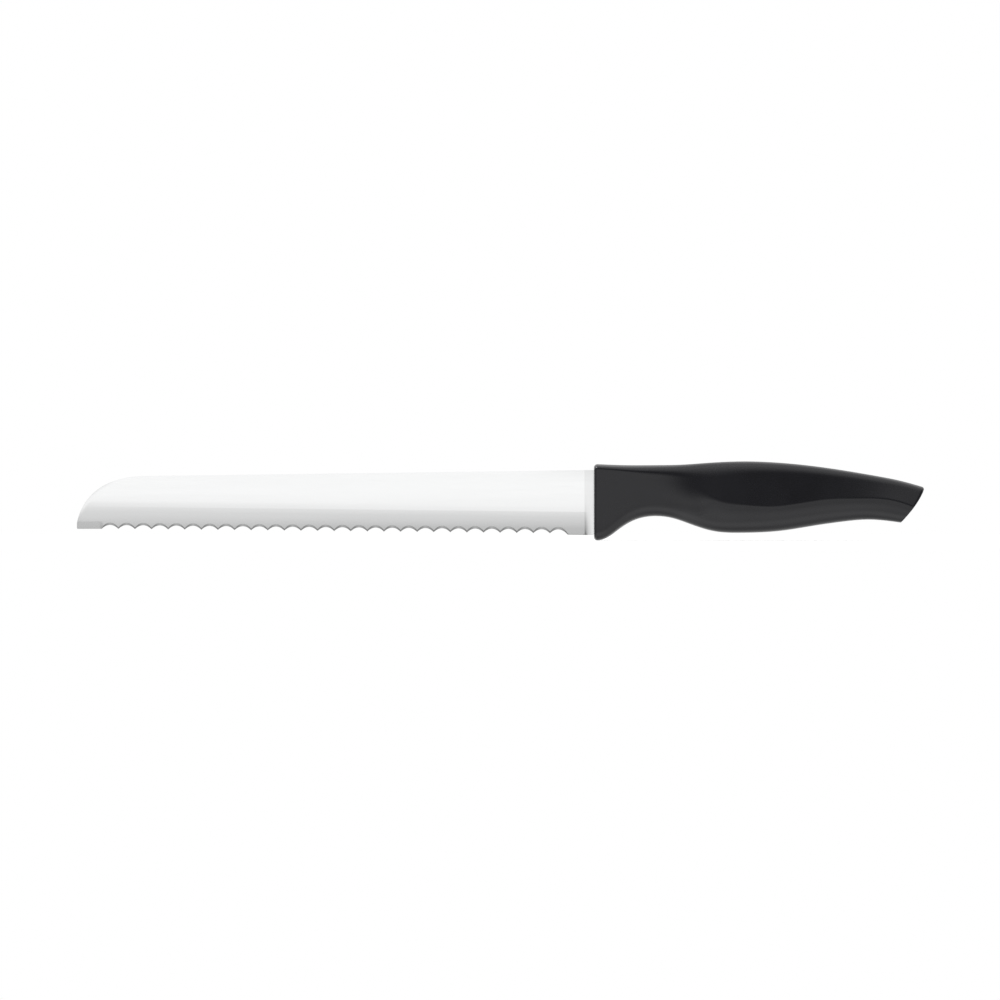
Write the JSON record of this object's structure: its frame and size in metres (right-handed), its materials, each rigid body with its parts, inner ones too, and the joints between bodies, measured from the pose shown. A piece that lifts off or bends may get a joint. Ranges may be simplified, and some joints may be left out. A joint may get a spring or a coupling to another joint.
{
  "type": "bread knife",
  "caption": "Household bread knife with a long straight serrated steel blade, a blunt rounded tip and a curved black moulded plastic handle.",
  "frame": {"origin": "on the blade's middle plane where the blade enters the handle's front face, halfway between spine and edge; the frame claim names the blade's flat side, half the blade's thickness away", "axes": "+X along the knife towards the butt of the handle, +Z towards the spine, Y across the thickness with the ground side of the scallops facing -Y"},
  "size_m": [0.3276, 0.019, 0.0305],
  "materials": {
    "blade_steel": "polished sides, finely ground bevel",
    "grip_plastic": "satin black",
    "core_plastic": "matt, as moulded"
  },
  "bodies": {
    "root": {"blade": "blade_steel", "handle_core": "core_plastic", "handle_grip": "grip_plastic"}
  },
  "joints": []
}
